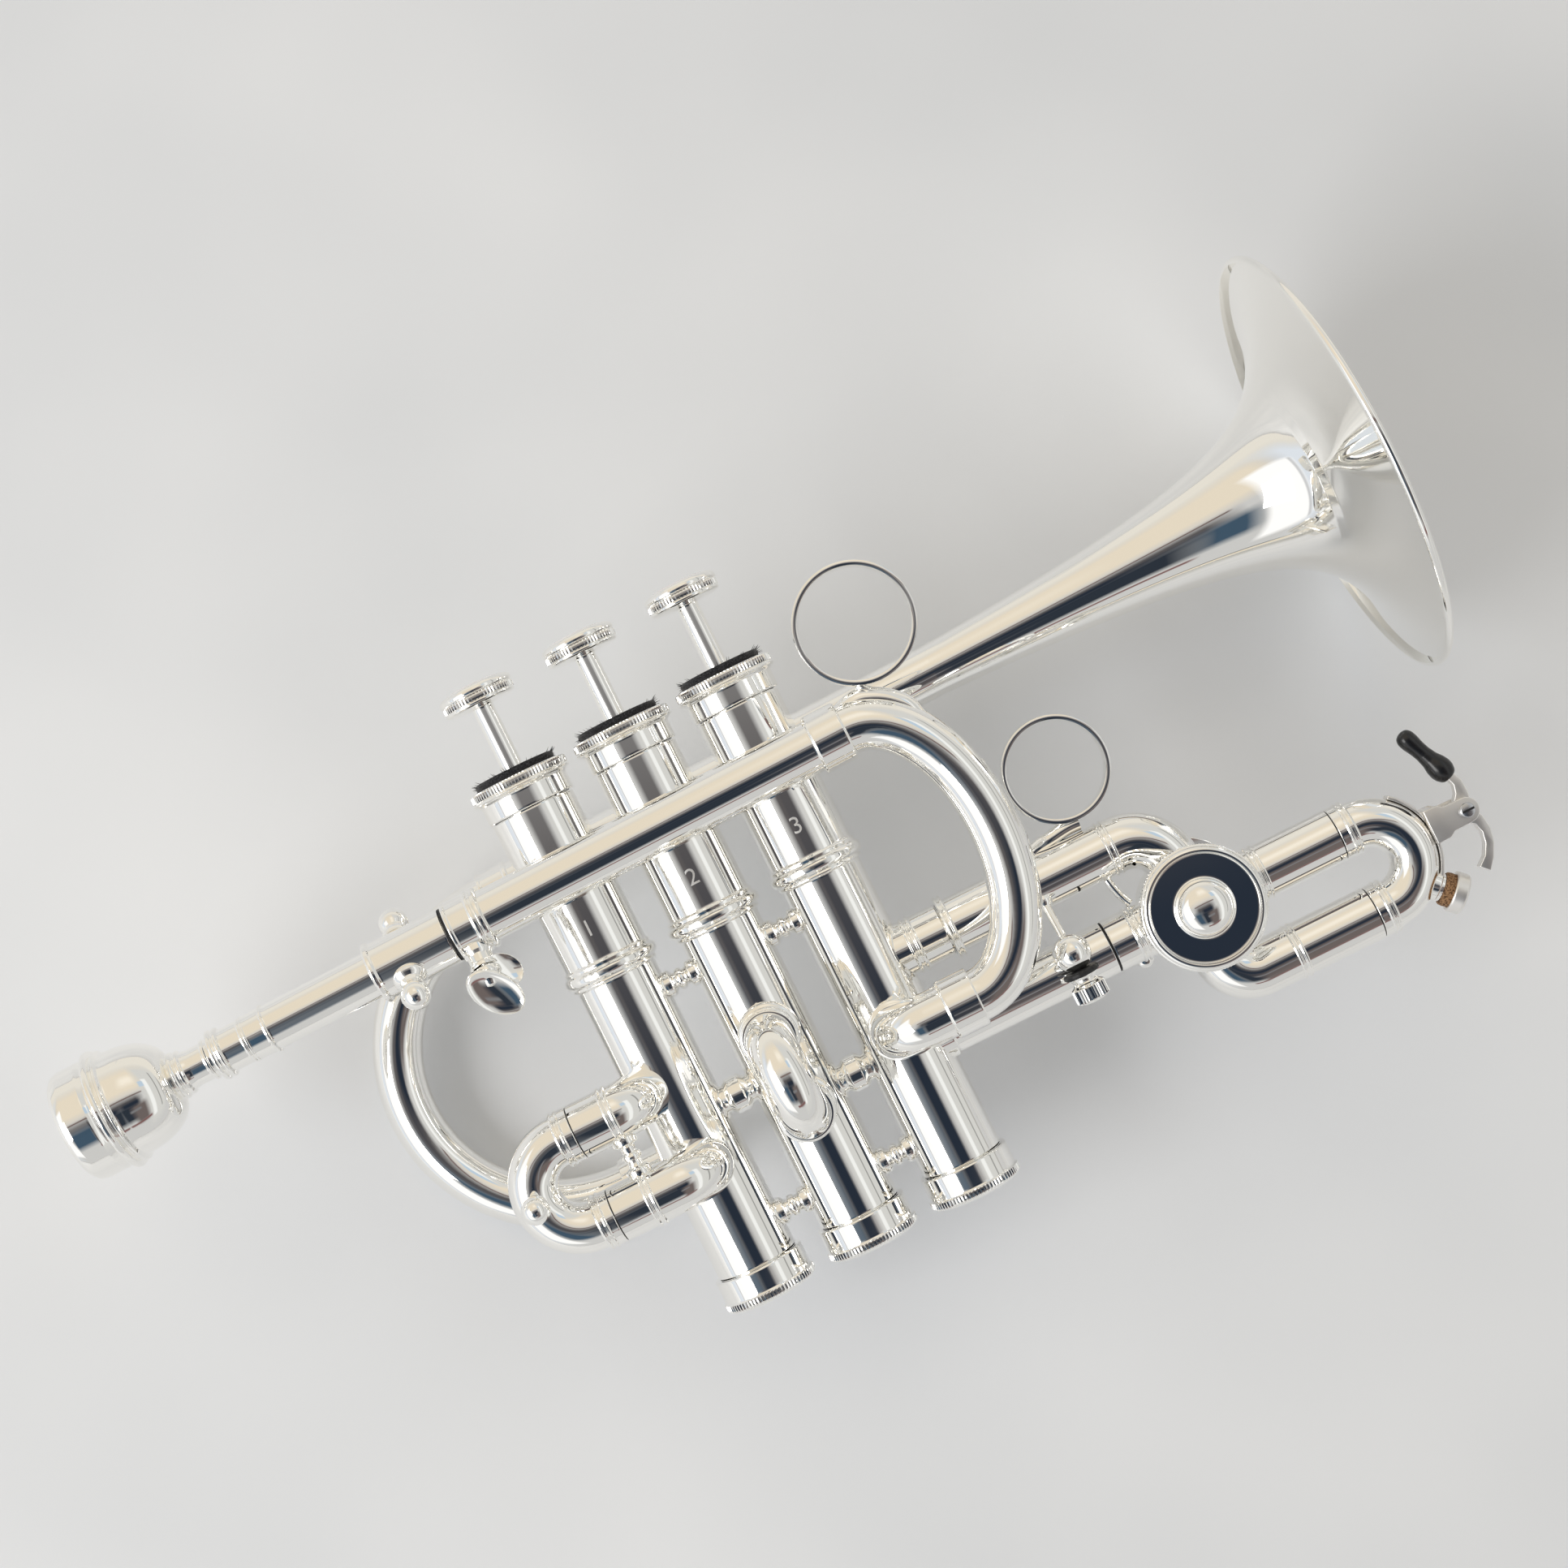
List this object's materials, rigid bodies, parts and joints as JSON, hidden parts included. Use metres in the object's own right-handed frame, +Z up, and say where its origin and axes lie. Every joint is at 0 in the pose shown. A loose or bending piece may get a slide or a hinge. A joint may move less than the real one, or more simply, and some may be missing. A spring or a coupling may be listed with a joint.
{
  "type": "piccolo trumpet",
  "caption": "Silver-plated piccolo trumpet with piston valves, a rotary valve in the third slide, pull slides, finger rings and a water key.",
  "frame": {"origin": "centre of the bounding box in plan, at the height of the table the instrument lies on", "axes": "+X along the instrument towards the bell, +Y towards the finger buttons, +Z up, with the instrument lying on its left side"},
  "size_m": [0.3424, 0.1704, 0.1065],
  "materials": {
    "silver_plate": "silver plate on brass, mirror polished",
    "nickel_alloy": "nickel alloy, lapped",
    "spring_steel": "drawn wire and turned screw, bright",
    "pearl": "mother-of-pearl, polished",
    "felt": "black wool felt",
    "rubber": "glossy black rubber sleeve",
    "cork": "natural cork"
  },
  "bodies": {
    "body": {"casing_1": "silver_plate", "bottom_cap_1": "silver_plate", "top_cap_1": "silver_plate", "casing_2": "silver_plate", "bottom_cap_2": "silver_plate", "top_cap_2": "silver_plate", "casing_3": "silver_plate", "bottom_cap_3": "silver_plate", "top_cap_3": "silver_plate", "spring_1": "spring_steel", "spring_2": "spring_steel", "spring_3": "spring_steel", "felt_1": "felt", "felt_2": "felt", "felt_3": "felt", "main_tube": "silver_plate", "clamp_band": "silver_plate", "lead_bow": "silver_plate", "lead_knee": "silver_plate", "finger_ring": "silver_plate", "bell": "silver_plate", "bell_bow": "silver_plate", "bell_tail": "silver_plate", "first_legs": "silver_plate", "second_legs": "silver_plate", "third_upper_leg": "silver_plate", "third_lower_leg": "silver_plate"},
    "valve_1": {"piston_1": "nickel_alloy", "button_1": "silver_plate", "pearl_1": "pearl"},
    "valve_2": {"piston_2": "nickel_alloy", "button_2": "silver_plate", "pearl_2": "pearl"},
    "valve_3": {"piston_3": "nickel_alloy", "button_3": "silver_plate", "pearl_3": "pearl"},
    "leadpipe_slide": {"leadpipe": "silver_plate", "slide_collar": "silver_plate", "pull_knob_front": "silver_plate", "pull_knob_back": "silver_plate"},
    "mouthpiece": {"mouthpiece": "silver_plate"},
    "wing_screw": {"wing_screw": "silver_plate"},
    "first_slide": {"first_crook": "silver_plate"},
    "second_slide": {"second_crook": "silver_plate"},
    "third_slide": {"third_slide": "silver_plate", "slide_ring": "silver_plate", "lock_post": "silver_plate", "rotary_casing": "silver_plate", "rotary_cap": "silver_plate", "fourth_upper_leg": "silver_plate", "fourth_lower_leg": "silver_plate"},
    "lock_screw": {"lock_screw": "silver_plate"},
    "rotor": {"rotor": "nickel_alloy", "rotor_lever": "silver_plate"},
    "fourth_slide": {"fourth_crook": "silver_plate", "key_bracket": "silver_plate", "key_pivot": "spring_steel"},
    "water_key": {"key_lever": "silver_plate", "key_cork": "cork", "key_sleeve": "rubber"}
  },
  "joints": [
    {"name": "valve_1_press", "type": "slide", "parent": "body", "child": "valve_1", "axis": [0.0108, -0.9892, -0.1459], "range_m": [0, 0.0155], "stiffness_N_per_m": 150, "springref_m": -0.012, "deforming": ["spring_1"]},
    {"name": "valve_2_press", "type": "slide", "parent": "body", "child": "valve_2", "axis": [0.0108, -0.9892, -0.1459], "range_m": [0, 0.0155], "stiffness_N_per_m": 150, "springref_m": -0.012, "deforming": ["spring_2"]},
    {"name": "valve_3_press", "type": "slide", "parent": "body", "child": "valve_3", "axis": [0.0108, -0.9892, -0.1459], "range_m": [0, 0.0155], "stiffness_N_per_m": 150, "springref_m": -0.012, "deforming": ["spring_3"]},
    {"name": "leadpipe_pull", "type": "slide", "parent": "body", "child": "leadpipe_slide", "axis": [-0.9889, -0.0065, -0.1484], "range_m": [0, 0.015]},
    {"name": "mouthpiece_pull", "type": "slide", "parent": "leadpipe_slide", "child": "mouthpiece", "axis": [-0.9889, -0.0065, -0.1484], "range_m": [0, 0.012]},
    {"name": "wing_screw_turn", "type": "hinge", "parent": "body", "child": "wing_screw", "pos_m": [-0.07217, 0.01951, 0.06563], "axis": [-0.0363, -0.9582, 0.2836], "range_deg": [-180, 180]},
    {"name": "first_slide_pull", "type": "slide", "parent": "body", "child": "first_slide", "axis": [-0.9892, 0.0108, -0.1459], "range_m": [0, 0.006]},
    {"name": "second_slide_pull", "type": "slide", "parent": "body", "child": "second_slide", "axis": [-0.1459, -0.1459, 0.9785], "range_m": [0, 0.0065]},
    {"name": "third_slide_pull", "type": "slide", "parent": "body", "child": "third_slide", "axis": [0.9892, -0.0108, 0.1459], "range_m": [0, 0.012]},
    {"name": "lock_screw_turn", "type": "hinge", "parent": "third_slide", "child": "lock_screw", "pos_m": [0.047, -0.04572, 0.06406], "axis": [-0.0108, 0.9892, 0.1459], "range_deg": [-180, 180]},
    {"name": "rotor_turn", "type": "hinge", "parent": "third_slide", "child": "rotor", "pos_m": [0.07965, -0.04818, 0.05568], "axis": [-0.1459, -0.1459, 0.9785], "range_deg": [0, 90]},
    {"name": "fourth_slide_pull", "type": "slide", "parent": "third_slide", "child": "fourth_slide", "axis": [0.9892, -0.0108, 0.1459], "range_m": [0, 0.015]},
    {"name": "water_key_press", "type": "hinge", "parent": "fourth_slide", "child": "water_key", "pos_m": [0.14403, -0.05659, 0.06403], "axis": [-0.1459, -0.1459, 0.9785], "range_deg": [0, 20], "stiffness_Nm_per_rad": 0.03, "springref_deg": -17.19}
  ]
}
